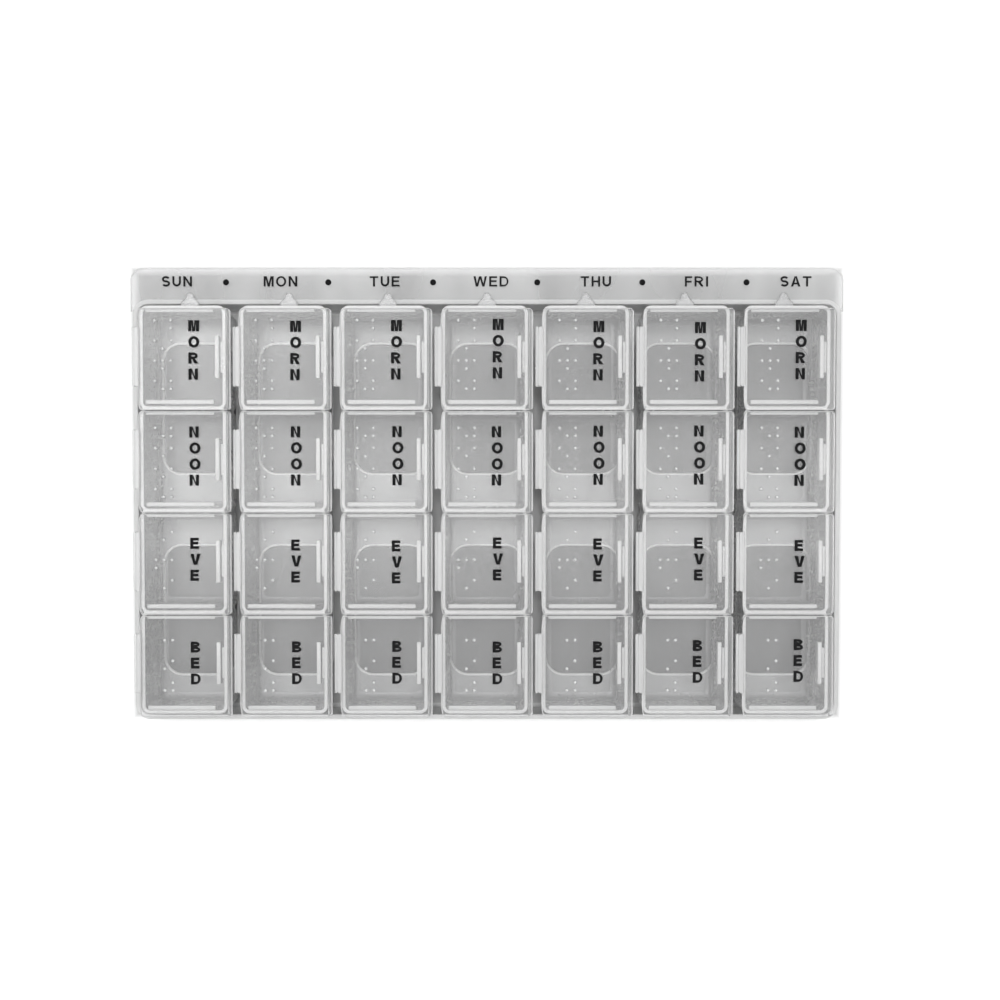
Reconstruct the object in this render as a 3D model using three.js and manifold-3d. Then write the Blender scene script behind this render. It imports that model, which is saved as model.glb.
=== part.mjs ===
// A week's pill organizer: a shallow tray that holds seven day strips side by side. Each strip
// has four cups in a row, and each cup has its own lid on a living hinge.
// Millimetres, +Z up. X runs along the week, +Y points to the header with the day names, and
// the origin is the centre of the footprint on the surface that the tray stands on.

import * as THREE from "three";
import { mergeVertices } from "three/addons/utils/BufferGeometryUtils.js";
import Module from "manifold-3d";

const wasm = await Module();
wasm.setup();

const DAYS = ["sun", "mon", "tue", "wed", "thu", "fri", "sat"];
const TIMES = ["morn", "noon", "eve", "bed"];

// Driving dimensions
const DAY_PITCH = 31; // from one strip to the next
const TIME_PITCH = 31.5; // from one cup to the next along a strip
const CLEARANCE = 0.3; // between two pieces that touch in use
const CORNER_STEPS = 2; // flats in a quarter round

const TRAY = {
  width: 222.8, // of the bay walls, outside at the rim
  back: 61.3, // outer face of the wall behind the strips, from the origin
  front: 71.2, // outer face of the wall before the strips, from the origin
  floor: 1.4,
  rim: 12.6, // height of the walls
  wall: 1.6,
  draft: 0.4, // how much the walls lean out from the floor to the rim
  corner: 4.8,
};
const HEADER = { width: 224, back: 71.2, thickness: 1.6, corner: 4 };
const WINDOW = { width: 23.1, length: 41.5, spacing: 65.2, corner: 5.5 };

const STRIP = {
  centreY: -4.9,
  left: -13.9, // outer walls at the rim, from the middle of the column
  right: 12.7,
  bottom: TRAY.floor + CLEARANCE,
  rim: 21.1,
  wall: 1.1,
  divider: 1.2,
  floor: 1.2,
  draft: 0.6,
  corner: 2,
};
const CUP = { draft: 0.9, corner: 1 };
const PINCH = { radius: 1.3, depth: 0.8 }; // the waist between two cups, outside
const LIFT_TAB = { width: 3.8, root: 5.6, reach: 5.2, thickness: 1.2 };
const NIB = { offset: 7.1, width: 2, reach: 1, bottom: 3, top: 14.5 };

const LID = {
  left: -14.2,
  right: 13.5,
  gap: 0.5, // between two lids of a strip
  forward: 0.8, // a lid reaches further over the front of its cup than over the back
  bottom: STRIP.rim + CLEARANCE,
  thickness: 1.1,
  corner: 1.4,
  shoulderDepth: 1.1, // the hinge side is cut back this far beside the hinge
  shoulderLength: 5,
};
const LIP = { left: 13, right: 14.2, bottom: 20.2, top: 21.3 }; // a thumb lifts this edge
const RIB = { left: -11.9, right: 9, thickness: 1.1, depth: 2, clearance: 0.35 };
const CATCH = { left: 9.35, right: 10.6, length: 13.1, depth: 3.4 };
const BEAD = { left: 11, length: 9.6, bottom: 19.1, top: 20.5 }; // the catch snaps past it

const HINGE = { x: -15.2, z: 21.5, radius: 0.5, length: 18.4, sides: 8 };
const FLANGE = { bottom: 19.7, top: 20.6 }; // the strip's half of each hinge

const CUP_BOTTOM = STRIP.bottom + STRIP.floor;
const STRIP_LENGTH = TIMES.length * TIME_PITCH;

// ---- materials ----

function plastic(colour, roughness, opacity) {
  return new THREE.MeshStandardMaterial({
    color: colour,
    roughness,
    metalness: 0,
    transparent: true,
    opacity,
  });
}
const TRAY_PLASTIC = plastic(0xd9dadb, 0.38, 0.75);
const STRIP_PLASTIC = plastic(0xdddee0, 0.3, 0.55);
const LID_PLASTIC = plastic(0xe2e3e5, 0.22, 0.5);

// ---- solids ----

// A closed three.js geometry as a manifold-3d solid.
function solid(geometry) {
  const bare = geometry.clone();
  bare.deleteAttribute("normal");
  bare.deleteAttribute("uv");
  const merged = mergeVertices(bare, 1e-4);
  return new wasm.Manifold(
    new wasm.Mesh({
      numProp: 3,
      vertProperties: new Float32Array(merged.attributes.position.array),
      triVerts: new Uint32Array(merged.index.array),
    }),
  );
}

// A manifold-3d solid as a geometry with flat faces.
function geometryOf(shape) {
  const found = shape.getMesh();
  const geometry = new THREE.BufferGeometry()
    .setAttribute("position", new THREE.BufferAttribute(found.vertProperties, 3))
    .setIndex(new THREE.BufferAttribute(found.triVerts, 1))
    .toNonIndexed();
  geometry.computeVertexNormals();
  return geometry;
}

const join = (shapes) => shapes.reduce((whole, shape) => whole.add(shape));
const cut = (whole, tools) => tools.reduce((rest, tool) => rest.subtract(tool), whole);

// An outline with a rounded corner at each of its four ends.
function roundedOutline(left, front, right, back, radius) {
  const quarter = Math.PI / 2;
  return new THREE.Shape()
    .absarc(right - radius, back - radius, radius, 0, quarter)
    .absarc(left + radius, back - radius, radius, quarter, 2 * quarter)
    .absarc(left + radius, front + radius, radius, 2 * quarter, 3 * quarter)
    .absarc(right - radius, front + radius, radius, 3 * quarter, 4 * quarter);
}

// An outline carried straight up from one height to another.
function upright(outline, bottom, top) {
  return new THREE.ExtrudeGeometry(outline, {
    depth: top - bottom,
    bevelEnabled: false,
    curveSegments: CORNER_STEPS,
  }).translate(0, 0, bottom);
}

// A box between two corners.
function block(left, front, bottom, right, back, top) {
  return solid(
    new THREE.BoxGeometry(right - left, back - front, top - bottom).translate(
      (left + right) / 2,
      (front + back) / 2,
      (bottom + top) / 2,
    ),
  );
}

// Draws a geometry's lower end in towards its middle, by `draft` on every side.
function drawnIn(geometry, draft) {
  geometry.computeBoundingBox();
  const { min, max } = geometry.boundingBox;
  const middle = new THREE.Vector3().addVectors(min, max).multiplyScalar(0.5);
  const place = geometry.attributes.position;
  for (let i = 0; i < place.count; i++) {
    const lean = (draft * (max.z - place.getZ(i))) / (max.z - min.z);
    const x = place.getX(i) - middle.x;
    const y = place.getY(i) - middle.y;
    place.setX(i, middle.x + x * (1 - lean / (max.x - middle.x)));
    place.setY(i, middle.y + y * (1 - lean / (max.y - middle.y)));
  }
  return geometry;
}

// ---- tray ----

const dayX = (day) => (day - (DAYS.length - 1) / 2) * DAY_PITCH;

function buildTray() {
  const half = TRAY.width / 2;
  const inner = half - TRAY.wall;
  const outside = roundedOutline(-half, -TRAY.front, half, TRAY.back, TRAY.corner);
  const bay = roundedOutline(
    -inner,
    -TRAY.front + TRAY.wall,
    inner,
    TRAY.back - TRAY.wall,
    TRAY.corner - TRAY.wall,
  );
  const wall = cut(solid(drawnIn(upright(outside, 0, TRAY.rim), TRAY.draft)), [
    solid(drawnIn(upright(bay, TRAY.floor, TRAY.rim + 1), TRAY.draft)),
  ]);
  return cut(join([wall, buildHeader()]), windows());
}

// The flat flange behind the bay that carries the day names, level with the rim.
function buildHeader() {
  const half = HEADER.width / 2;
  const top = TRAY.rim;
  const behind = TRAY.back - TRAY.corner;
  const flange = roundedOutline(-half, behind, half, HEADER.back, HEADER.corner);
  const bayCorner = roundedOutline(
    -TRAY.width / 2 + TRAY.wall,
    -TRAY.front,
    TRAY.width / 2 - TRAY.wall,
    TRAY.back - TRAY.wall,
    TRAY.corner - TRAY.wall,
  );
  const plate = solid(upright(flange, top - HEADER.thickness, top));
  return plate.subtract(solid(upright(bayCorner, 0, TRAY.rim + 1)));
}

// Two openings in the floor under each strip, through which a finger pushes it up.
function windows() {
  const found = [];
  const halfWidth = WINDOW.width / 2;
  const halfLength = WINDOW.length / 2;
  for (let day = 0; day < DAYS.length; day++) {
    for (const side of [-1, 1]) {
      const x = dayX(day);
      const y = STRIP.centreY + (side * WINDOW.spacing) / 2;
      const outline = roundedOutline(
        x - halfWidth,
        y - halfLength,
        x + halfWidth,
        y + halfLength,
        WINDOW.corner,
      );
      found.push(solid(upright(outline, -1, TRAY.floor + 1)));
    }
  }
  return found;
}

// ---- day strip, about the middle of its column ----

const cupY = (time) => ((TIMES.length - 1) / 2 - time) * TIME_PITCH;

function buildStrip() {
  const halfLength = STRIP_LENGTH / 2;
  const outline = roundedOutline(
    STRIP.left,
    -halfLength,
    STRIP.right,
    halfLength,
    STRIP.corner,
  );
  const outside = solid(drawnIn(upright(outline, STRIP.bottom, STRIP.rim), STRIP.draft));
  const row = cut(outside, [...TIMES.map((_, time) => cup(time)), ...pinches()]);
  return join([row, liftTab(), ...nibs(), ...hingeFlanges(), ...beads()]);
}

// The hollow of one cup. The end walls are as thick as the side walls.
function cup(time) {
  const last = TIMES.length - 1;
  const toBack = time === 0 ? STRIP.wall : STRIP.divider / 2;
  const toFront = time === last ? STRIP.wall : STRIP.divider / 2;
  const outline = roundedOutline(
    STRIP.left + STRIP.wall,
    cupY(time) - TIME_PITCH / 2 + toFront,
    STRIP.right - STRIP.wall,
    cupY(time) + TIME_PITCH / 2 - toBack,
    CUP.corner,
  );
  return solid(drawnIn(upright(outline, CUP_BOTTOM, STRIP.rim + 1), CUP.draft));
}

// Upright grooves that give the strip a waist at each divider, on both sides.
function pinches() {
  const height = STRIP.rim - STRIP.bottom + 2;
  const beyond = PINCH.radius - PINCH.depth;
  const found = [];
  for (let time = 1; time < TIMES.length; time++) {
    for (const x of [STRIP.left - beyond, STRIP.right + beyond]) {
      const groove = new THREE.CylinderGeometry(
        PINCH.radius,
        PINCH.radius,
        height,
        4 * CORNER_STEPS,
      )
        .rotateX(Math.PI / 2)
        .translate(x, cupY(time) + TIME_PITCH / 2, STRIP.bottom - 1 + height / 2);
      found.push(solid(groove));
    }
  }
  return found;
}

// The rounded tongue at the back end, which lies over the tray's rim.
function liftTab() {
  const root = STRIP_LENGTH / 2 - STRIP.wall / 2;
  const nose = STRIP_LENGTH / 2 + LIFT_TAB.reach - LIFT_TAB.width / 2;
  const outline = new THREE.Shape()
    .moveTo(-LIFT_TAB.root / 2, root)
    .lineTo(LIFT_TAB.root / 2, root)
    .lineTo(LIFT_TAB.width / 2, nose)
    .absarc(0, nose, LIFT_TAB.width / 2, 0, Math.PI)
    .lineTo(-LIFT_TAB.root / 2, root);
  const bottom = TRAY.rim + CLEARANCE;
  return solid(upright(outline, bottom, bottom + LIFT_TAB.thickness));
}

// Two upright ribs with a V section at the front end, which keep the strip off the tray's wall.
function nibs() {
  const root = -STRIP_LENGTH / 2 + STRIP.wall / 2;
  const tip = -STRIP_LENGTH / 2 - NIB.reach;
  return [-1, 1].map((side) => {
    const x = side * NIB.offset;
    const outline = new THREE.Shape()
      .moveTo(x + NIB.width / 2, root)
      .lineTo(x - NIB.width / 2, root)
      .lineTo(x - NIB.width / 6, tip)
      .lineTo(x + NIB.width / 6, tip)
      .lineTo(x + NIB.width / 2, root);
    return solid(upright(outline, NIB.bottom, NIB.top));
  });
}

// The strip's half of each living hinge: a narrow flange just below the rim.
function hingeFlanges() {
  return TIMES.map((_, time) =>
    block(
      HINGE.x,
      cupY(time) - HINGE.length / 2,
      FLANGE.bottom,
      STRIP.left + STRIP.wall / 2,
      cupY(time) + HINGE.length / 2,
      FLANGE.top,
    ),
  );
}

// A bead inside each cup's far wall, which holds the lid's catch.
function beads() {
  return TIMES.map((_, time) =>
    block(
      BEAD.left,
      cupY(time) - BEAD.length / 2,
      BEAD.bottom,
      STRIP.right - STRIP.wall / 2,
      cupY(time) + BEAD.length / 2,
      BEAD.top,
    ),
  );
}

// ---- lid, about the middle of its cup ----

function buildLid() {
  const halfLength = (TIME_PITCH - LID.gap) / 2;
  const front = -halfLength - LID.forward;
  const back = halfLength - LID.forward;
  const plate = upright(lidOutline(front, back), LID.bottom, LID.bottom + LID.thickness);
  return join([
    solid(plate),
    ...thumbLip(front, back),
    ...lidRibs(),
    lidCatch(),
    hingeBarrel(),
    hingeTab(),
  ]);
}

// The plate's outline: two rounded corners at the lip, and two long shoulders at the hinge.
function lidOutline(front, back) {
  const quarter = Math.PI / 2;
  const { left, right, corner, shoulderDepth, shoulderLength } = LID;
  return new THREE.Shape()
    .moveTo(left, front + shoulderLength)
    .quadraticCurveTo(left, front, left + shoulderDepth, front)
    .absarc(right - corner, front + corner, corner, -quarter, 0)
    .absarc(right - corner, back - corner, corner, 0, quarter)
    .lineTo(left + shoulderDepth, back)
    .quadraticCurveTo(left, back, left, back - shoulderLength);
}

// The step down past the strip's wall, and the lip at its foot.
function thumbLip(front, back) {
  const outline = roundedOutline(
    LIP.left,
    front,
    LIP.right,
    back,
    (LIP.right - LIP.left) / 2 - 0.01,
  );
  const stepFront = front + LID.corner;
  const stepBack = back - LID.corner;
  return [
    solid(upright(outline, LIP.bottom, LIP.top)),
    block(LIP.left, stepFront, LIP.bottom, LID.right, stepBack, LID.bottom + LID.thickness / 2),
  ];
}

// Two ribs under the plate that drop just inside the cup.
function lidRibs() {
  const outer = (TIME_PITCH - STRIP.divider) / 2 - RIB.clearance - STRIP.divider / 4;
  return [-1, 1].map((side) => {
    const near = side * outer;
    const far = side * (outer - RIB.thickness);
    return block(
      RIB.left,
      Math.min(near, far),
      LID.bottom - RIB.depth,
      RIB.right,
      Math.max(near, far),
      LID.bottom + LID.thickness / 2,
    );
  });
}

// The catch: a short wall under the plate that snaps past the bead in the cup.
function lidCatch() {
  return block(
    CATCH.left,
    -CATCH.length / 2,
    LID.bottom - CATCH.depth,
    CATCH.right,
    CATCH.length / 2,
    LID.bottom + LID.thickness / 2,
  );
}

// The folded film of the living hinge, round on the line that the lid turns about.
function hingeBarrel() {
  return solid(
    new THREE.CylinderGeometry(HINGE.radius, HINGE.radius, HINGE.length, HINGE.sides).translate(
      HINGE.x,
      0,
      HINGE.z,
    ),
  );
}

// The lid's half of the living hinge, from the barrel to the plate.
function hingeTab() {
  return block(
    HINGE.x,
    -HINGE.length / 2,
    LID.bottom,
    LID.left + LID.thickness,
    HINGE.length / 2,
    LID.bottom + LID.thickness,
  );
}

// ---- assembly ----

function mesh(name, shape, material) {
  const found = new THREE.Mesh(geometryOf(shape), material);
  found.name = name;
  return found;
}

function buildOrganizer() {
  const organizer = new THREE.Group();
  organizer.add(mesh("tray", buildTray(), TRAY_PLASTIC));
  const strip = buildStrip();
  const lid = buildLid();
  DAYS.forEach((day, column) => {
    const place = new THREE.Group();
    place.position.set(dayX(column), STRIP.centreY, 0);
    place.add(mesh(`strip_${day}`, strip, STRIP_PLASTIC));
    TIMES.forEach((time, row) => {
      const cover = mesh(`lid_${day}_${time}`, lid, LID_PLASTIC);
      cover.position.y = cupY(row);
      place.add(cover);
    });
    organizer.add(place);
  });
  return organizer;
}

export default buildOrganizer();
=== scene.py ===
"""A week's pill organizer: a tray, seven lift-out day strips and twenty-eight hinged cup lids.

Sizes in the classes are millimetres in the part's own frame: +Z up, X along the week, +Y to the
header, and the origin at the centre of the footprint. Meshes are written in metres.
"""

import logging
import math
from dataclasses import dataclass, field
from enum import Enum
from typing import ClassVar

import bpy
import numpy as np
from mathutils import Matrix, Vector
from mathutils.geometry import delaunay_2d_cdt


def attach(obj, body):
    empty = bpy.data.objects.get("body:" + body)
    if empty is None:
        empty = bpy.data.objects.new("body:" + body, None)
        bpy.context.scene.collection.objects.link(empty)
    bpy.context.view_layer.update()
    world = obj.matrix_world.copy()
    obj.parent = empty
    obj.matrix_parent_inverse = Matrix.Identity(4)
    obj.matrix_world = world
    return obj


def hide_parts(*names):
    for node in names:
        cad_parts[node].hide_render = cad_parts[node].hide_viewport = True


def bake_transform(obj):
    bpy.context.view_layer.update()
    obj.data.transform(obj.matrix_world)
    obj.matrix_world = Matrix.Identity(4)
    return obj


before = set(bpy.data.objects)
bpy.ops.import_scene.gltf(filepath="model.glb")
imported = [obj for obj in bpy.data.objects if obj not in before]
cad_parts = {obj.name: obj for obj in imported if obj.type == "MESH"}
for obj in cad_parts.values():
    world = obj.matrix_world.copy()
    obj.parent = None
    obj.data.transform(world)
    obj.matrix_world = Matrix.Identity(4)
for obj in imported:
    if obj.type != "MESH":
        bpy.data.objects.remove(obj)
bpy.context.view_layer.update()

LOG = logging.getLogger("pill_organizer")
METRE = 0.001
Loop = np.ndarray


class Day(Enum):
    """A column of the tray, in the order of the week."""

    SUN = 0
    MON = 1
    TUE = 2
    WED = 3
    THU = 4
    FRI = 5
    SAT = 6


class Hour(Enum):
    """A cup of a strip, from the header down."""

    MORN = 0
    NOON = 1
    EVE = 2
    BED = 3


# ---------------------------------------------------------------- surfaces


@dataclass
class Shell:
    """One or more closed surfaces: points, faces, and how edge-on the plastic is at each point."""

    points: np.ndarray
    faces: list[tuple[int, ...]]
    haze: np.ndarray

    def moved(self, x: float, y: float, z: float = 0.0) -> "Shell":
        """Returns a copy shifted by x, y and z."""
        return Shell(self.points + np.array([x, y, z]), self.faces, self.haze)

    @staticmethod
    def joined(shells: list["Shell"]) -> "Shell":
        """Puts several shells in one.

        Args:
            shells: The shells, in order.

        Returns:
            One shell whose faces count on through the points of all of them.
        """
        starts = np.cumsum([0] + [len(s.points) for s in shells])
        faces = [
            tuple(int(i + start) for i in face)
            for s, start in zip(shells, starts)
            for face in s.faces
        ]
        return Shell(
            np.concatenate([s.points for s in shells]),
            faces,
            np.concatenate([s.haze for s in shells]),
        )

    def welded(self) -> "Shell":
        """Makes points that lie in one place, to a tenth of a micron, one point."""
        _, first, at = np.unique(
            np.round(self.points, 4), axis=0, return_index=True, return_inverse=True
        )
        at = at.ravel()
        faces = []
        for face in self.faces:
            kept = [int(at[i]) for i in face]
            kept = [v for i, v in enumerate(kept) if v != kept[i - 1]]
            if len(set(kept)) > 2:
                faces.append(tuple(kept))
        return Shell(self.points[first], faces, self.haze[first])


def arc(x: float, y: float, radius: float, start: float, end: float, steps: int) -> Loop:
    """Points on an arc: the centre plus radius times (cos, sin) of evenly spaced angles.

    Args:
        x: Centre, first axis.
        y: Centre, second axis.
        radius: Radius of the arc.
        start: First angle in degrees.
        end: Last angle in degrees.
        steps: Number of chords.

    Returns:
        An array of steps + 1 rows of two numbers.
    """
    angle = np.radians(np.linspace(start, end, steps + 1))
    return np.stack([x + radius * np.cos(angle), y + radius * np.sin(angle)], axis=1)


def rounded_loop(
    left: float, front: float, right: float, back: float, radius: float, steps: int = 7
) -> Loop:
    """A rectangle with round corners, anticlockwise: four quarter arcs joined by straight sides.

    Args:
        left: Lowest x.
        front: Lowest y.
        right: Highest x.
        back: Highest y.
        radius: Corner radius.
        steps: Chords in each corner.

    Returns:
        The outline's points.
    """
    r = radius
    return np.concatenate(
        [
            arc(right - r, front + r, r, -90, 0, steps),
            arc(right - r, back - r, r, 0, 90, steps),
            arc(left + r, back - r, r, 90, 180, steps),
            arc(left + r, front + r, r, 180, 270, steps),
        ]
    )


def inward(loop: Loop) -> np.ndarray:
    """Unit directions into an anticlockwise loop: each point's chord turned a quarter left."""
    along = np.roll(loop, -1, axis=0) - np.roll(loop, 1, axis=0)
    normal = np.stack([-along[:, 1], along[:, 0]], axis=1)
    return normal / np.linalg.norm(normal, axis=1, keepdims=True)


def ring_faces(count: int, length: int) -> list[tuple[int, ...]]:
    """The quads between loops whose points are numbered loop after loop.

    Args:
        count: Number of loops.
        length: Points in each loop.

    Returns:
        One quad for each point of each loop but the last.
    """
    here = np.arange((count - 1) * length).reshape(count - 1, length)
    beside = np.roll(here, -1, axis=1)
    quads = np.stack([here, beside, beside + length, here + length], axis=2)
    return [tuple(q) for q in quads.reshape(-1, 4).tolist()]


def loft(
    loops: list[Loop],
    heights: list[float] | np.ndarray,
    haze: list[float],
    start_cap: bool = True,
    end_cap: bool = True,
) -> Shell:
    """A skin over a stack of loops: point (s, t) is loop t's point s at height t.

    Args:
        loops: Anticlockwise loops of one length, in the order that keeps the outside outside.
        heights: Each loop's height, or one height for each point of each loop.
        haze: Each loop's haze.
        start_cap: Whether the first loop is closed with a face.
        end_cap: Whether the last loop is closed with a face.

    Returns:
        The shell.
    """
    count, length = len(loops), len(loops[0])
    z = np.asarray(heights, float)
    z = np.repeat(z[:, None], length, axis=1) if z.ndim == 1 else z
    points = np.concatenate([np.stack(loops), z[:, :, None]], axis=2).reshape(-1, 3)
    faces = ring_faces(count, length)
    if start_cap:
        faces.append(tuple(range(length - 1, -1, -1)))
    if end_cap:
        faces.append(tuple(range((count - 1) * length, count * length)))
    return Shell(points, faces, np.repeat(np.asarray(haze, float), length))


def flat_field(
    outer: Loop, holes: list[Loop], height: float, haze: float, upwards: bool
) -> Shell:
    """A level face with holes: triangles between the loops, kept where a ray crosses them oddly.

    Args:
        outer: The face's own outline.
        holes: Outlines of the holes.
        height: Height of the face.
        haze: Haze all over it.
        upwards: Whether it faces up.

    Returns:
        The shell, open along its loops until it is welded to its neighbours.
    """
    loops = [outer, *holes]
    flat = np.concatenate(loops)
    edges, start = [], 0
    for loop in loops:
        index = np.arange(len(loop))
        edges += (np.stack([index, (index + 1) % len(loop)], axis=1) + start).tolist()
        start += len(loop)
    found = delaunay_2d_cdt([Vector(p) for p in flat.tolist()], edges, [], 0, 1e-7)
    where = np.array([tuple(v) for v in found[0]])
    triangles = np.array(found[2])
    middle = where[triangles].mean(axis=1)
    a, b = flat[np.array(edges)[:, 0]], flat[np.array(edges)[:, 1]]
    above = (a[None, :, 1] > middle[:, None, 1]) != (b[None, :, 1] > middle[:, None, 1])
    with np.errstate(divide="ignore", invalid="ignore"):
        reach = a[:, 0] + (middle[:, None, 1] - a[:, 1]) * (b - a)[:, 0] / (b - a)[:, 1]
    inside = (above & (middle[:, None, 0] < reach)).sum(axis=1) % 2 == 1
    triangles = triangles[inside]
    corners = where[triangles]
    one, two = corners[:, 1] - corners[:, 0], corners[:, 2] - corners[:, 0]
    turned = (one[:, 0] * two[:, 1] - one[:, 1] * two[:, 0] > 0) != upwards
    triangles[turned] = triangles[turned][:, ::-1]
    points = np.column_stack([where, np.full(len(where), height)])
    return Shell(points, [tuple(t) for t in triangles.tolist()], np.full(len(where), haze))


def rounded_bar(
    low: tuple[float, float, float],
    high: tuple[float, float, float],
    radius: float,
    haze: float,
) -> Shell:
    """A box with round edges: each point is the nearest point of the inner box, pushed out by
    the radius along the line from it.

    Args:
        low: Lowest corner.
        high: Highest corner.
        radius: Radius of the edges.
        haze: Haze all over it.

    Returns:
        The closed shell.
    """
    low, high = np.array(low, float), np.array(high, float)
    share = np.array([0.0, 0.42, 1.0])
    ticks = [
        np.concatenate([low[k] + radius * share, high[k] - radius * share[::-1]])
        for k in range(3)
    ]
    n = 6
    sheets, faces = [], []
    for axis in range(3):
        for side in (0, 1):
            u, v = [k for k in range(3) if k != axis]
            if (axis == 1) == (side == 1):
                u, v = v, u
            grid = np.zeros((n, n, 3))
            grid[:, :, axis] = (low, high)[side][axis]
            grid[:, :, u] = ticks[u][:, None]
            grid[:, :, v] = ticks[v][None, :]
            base = len(sheets) * n * n
            at = base + np.arange(n * n).reshape(n, n)
            quads = np.stack([at[:-1, :-1], at[1:, :-1], at[1:, 1:], at[:-1, 1:]], axis=2)
            faces += quads.reshape(-1, 4).tolist()
            sheets.append(grid.reshape(-1, 3))
    points = np.concatenate(sheets)
    inner = np.clip(points, low + radius, high - radius)
    out = points - inner
    length = np.linalg.norm(out, axis=1, keepdims=True)
    points = inner + out / np.maximum(length, 1e-9) * radius
    return Shell(points, [tuple(f) for f in faces], np.full(len(points), haze)).welded()


def smooth_step(x: np.ndarray, start: float, end: float) -> np.ndarray:
    """0 before start, 1 after end, and three t squared less two t cubed between them."""
    t = np.clip((x - start) / (end - start), 0, 1)
    return t * t * (3 - 2 * t)


def edge_profile(radius: float, low: float, high: float, steps: int = 3) -> np.ndarray:
    """The rounded edge of a plate, from its underside out and over to its top.

    Args:
        radius: Radius of both edges.
        low: Height of the underside.
        high: Height of the top.
        steps: Chords in each quarter.

    Returns:
        Rows of inset and height.
    """
    under = arc(radius, low + radius, radius, 270, 180, steps)
    over = arc(radius, high - radius, radius, 180, 90, steps)
    support = 0.06
    return np.concatenate(
        [[[radius + support, low]], under, over, [[radius + support, high]]]
    )


# ---------------------------------------------------------------- finishes


class Nodes:
    """A short way to write a material's nodes."""

    def __init__(self, name: str) -> None:
        """Makes an empty node material with this name."""
        self.material = bpy.data.materials.new(name)
        self.material.use_nodes = True
        self.tree = self.material.node_tree
        self.tree.nodes.clear()

    def add(self, kind: str, **values: object) -> bpy.types.Node:
        """Adds a node.

        Args:
            kind: Blender's name for the node, without its "ShaderNode".
            values: Properties of the node, and values or links for its inputs by name, where
                a blank in the name is written as two underscores and an index as "i0".

        Returns:
            The node.
        """
        node = self.tree.nodes.new("ShaderNode" + kind)
        for key, value in values.items():
            if hasattr(node, key):
                setattr(node, key, value)
                continue
            socket = node.inputs[int(key[1:]) if key[1:].isdigit() else key.replace("__", " ")]
            if isinstance(value, bpy.types.NodeSocket):
                self.tree.links.new(value, socket)
            else:
                socket.default_value = value
        return node

    def sum(self, a: object, b: object, operation: str = "ADD") -> bpy.types.NodeSocket:
        """The output of a Math node on two values or sockets."""
        return self.add("Math", operation=operation, i0=a, i1=b).outputs[0]

    def shown(self, shader: bpy.types.Node) -> bpy.types.Material:
        """Links the shader to the output and returns the material."""
        output = self.tree.nodes.new("ShaderNodeOutputMaterial")
        self.tree.links.new(shader.outputs[0], output.inputs["Surface"])
        return self.material


@dataclass(frozen=True)
class MilkyPlastic:
    """Moulded polypropylene: clear with a milky cast, whiter where the eye runs along a wall."""

    name: str
    body: tuple[float, float, float]
    edge: tuple[float, float, float]
    cloud: float  # how solid a broad face is
    rim: float  # how solid an edge-on face is
    roughness: float
    glow: float = 0.2  # share of the scattered light that goes on through the wall

    def material(self) -> bpy.types.Material:
        """Builds the finish: haze from the mesh, flow marks and mottling from noise.

        Returns:
            The material.
        """
        n = Nodes(self.name)
        place = n.add("TexCoord").outputs["Object"]
        haze = n.add("Attribute", attribute_name="haze").outputs["Fac"]
        flow_place = n.add("Mapping", Vector=place, Scale=(75.0, 20.0, 75.0)).outputs[0]
        flow = n.add("TexNoise", Vector=flow_place, Scale=1.0, Detail=1.0).outputs["Fac"]
        cloud = n.add(
            "MapRange", Value=flow, i1=0.3, i2=0.7, i3=self.cloud * 0.75, i4=self.cloud * 1.25
        ).outputs[0]
        solid = n.add(
            "MapRange", Value=haze, i3=cloud, i4=self.rim, clamp=True
        ).outputs[0]
        colour = n.add(
            "Mix", data_type="RGBA", i0=haze, i6=(*self.body, 1), i7=(*self.edge, 1)
        ).outputs[2]
        fine = n.add("TexNoise", Vector=place, Scale=900.0, Detail=0.0).outputs["Fac"]
        rough = n.add(
            "MapRange", Value=fine, i3=self.roughness - 0.05, i4=self.roughness + 0.07
        ).outputs[0]
        bump = n.add("Bump", Height=flow, Strength=0.06, Distance=0.0015).outputs[0]
        skin = n.add(
            "BsdfPrincipled",
            **{"Base Color": colour, "Roughness": rough, "Normal": bump, "IOR": 1.49},
        )
        glow = n.add("BsdfTranslucent", Color=colour)
        milk = n.add("MixShader", i0=self.glow, i1=skin.outputs[0], i2=glow.outputs[0])
        clear = n.add("BsdfTransparent")
        wall = n.add("MixShader", i0=solid, i1=clear.outputs[0], i2=milk.outputs[0])
        shine = n.add("BsdfAnisotropic", Color=(1, 1, 1, 1), Roughness=rough, Normal=bump)
        share = n.add("Fresnel", IOR=1.42, Normal=bump).outputs[0]
        mixed = n.add("MixShader", i0=share, i1=wall.outputs[0], i2=shine.outputs[0])
        return n.shown(mixed)


@dataclass(frozen=True)
class PadInk:
    """Black pad print: a thin satin film, slightly uneven."""

    name: str = "pad_ink"

    def material(self) -> bpy.types.Material:
        """Builds the ink: near black, with a faint unevenness in its sheen."""
        n = Nodes(self.name)
        place = n.add("TexCoord").outputs["Object"]
        grain = n.add("TexNoise", Vector=place, Scale=1500.0, Detail=3.0).outputs["Fac"]
        colour = n.add(
            "Mix",
            data_type="RGBA",
            i0=grain,
            i6=(0.001, 0.001, 0.001, 1),
            i7=(0.005, 0.005, 0.006, 1),
        ).outputs[2]
        rough = n.add("MapRange", Value=grain, i3=0.45, i4=0.65).outputs[0]
        bump = n.add("Bump", Height=grain, Strength=0.08, Distance=0.0002).outputs[0]
        shader = n.add(
            "BsdfPrincipled",
            **{
                "Base Color": colour,
                "Roughness": rough,
                "Normal": bump,
                "Specular IOR Level": 0.2,
            },
        )
        return n.shown(shader)


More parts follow.
